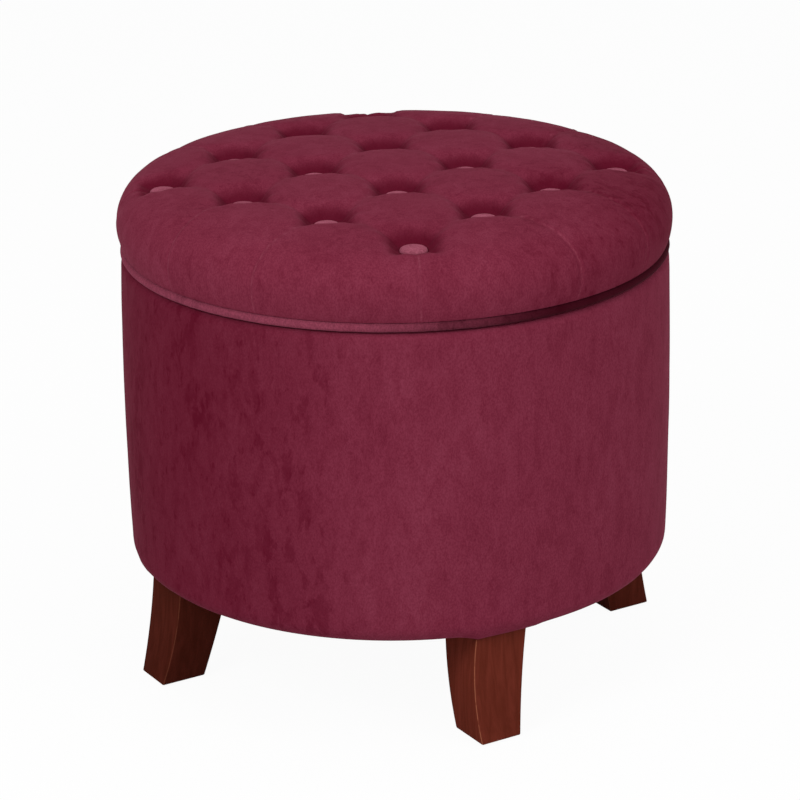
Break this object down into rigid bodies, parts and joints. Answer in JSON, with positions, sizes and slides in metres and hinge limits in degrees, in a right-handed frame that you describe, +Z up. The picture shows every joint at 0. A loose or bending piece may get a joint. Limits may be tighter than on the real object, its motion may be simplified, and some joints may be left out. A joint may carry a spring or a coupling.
{
  "type": "storage ottoman",
  "caption": "Round velvet storage ottoman with a button-tufted lift-off lid and curved wooden legs",
  "frame": {"origin": "on the floor, under the middle of the drum", "axes": "+Z up along the drum's axis; the legs stand on the diagonals between X and Y"},
  "size_m": [0.4952, 0.4952, 0.4594],
  "materials": {
    "velvet": "burgundy velvet, crushed in places",
    "foam": "cut upholstery foam",
    "plywood": "raw plywood",
    "fibreboard": "raw hardboard",
    "timber": "sawn softwood",
    "black_cloth": "black non-woven cloth",
    "stained_wood": "dark red-brown stain under satin lacquer",
    "zinc": "zinc plate",
    "brown_plastic": "moulded"
  },
  "bodies": {
    "base": {"base_panel": "plywood", "drum_wall": "fibreboard", "top_ring": "plywood", "post_1": "timber", "post_2": "timber", "post_3": "timber", "post_4": "timber", "inner_wall": "fibreboard", "body_padding": "foam", "body_cover": "velvet", "storage_lining": "black_cloth", "dust_cover": "black_cloth", "leg_1": "stained_wood", "leg_2": "stained_wood", "leg_3": "stained_wood", "leg_4": "stained_wood", "leg_bolt_1": "zinc", "leg_bolt_2": "zinc", "leg_bolt_3": "zinc", "leg_bolt_4": "zinc", "t_nut_1": "zinc", "t_nut_2": "zinc", "t_nut_3": "zinc", "t_nut_4": "zinc", "glide_1": "brown_plastic", "glide_2": "brown_plastic", "glide_3": "brown_plastic", "glide_4": "brown_plastic"},
    "lid": {"lid_board": "plywood", "lid_foam": "foam", "lid_cover": "velvet", "lid_piping": "velvet", "lid_button_01": "velvet", "lid_button_02": "velvet", "lid_button_03": "velvet", "lid_button_04": "velvet", "lid_button_05": "velvet", "lid_button_06": "velvet", "lid_button_07": "velvet", "lid_button_08": "velvet", "lid_button_09": "velvet", "lid_button_10": "velvet", "lid_button_11": "velvet", "lid_button_12": "velvet", "lid_button_13": "velvet", "lid_button_14": "velvet", "lid_button_15": "velvet", "lid_button_16": "velvet", "locating_ring": "plywood", "ring_screw_1": "zinc", "ring_screw_2": "zinc", "ring_screw_3": "zinc", "ring_screw_4": "zinc", "lid_lining": "black_cloth"}
  },
  "joints": [
    {"name": "lid_lift", "type": "slide", "parent": "base", "child": "lid", "axis": [0, 0, 1], "range_m": [0, 0.2]}
  ]
}
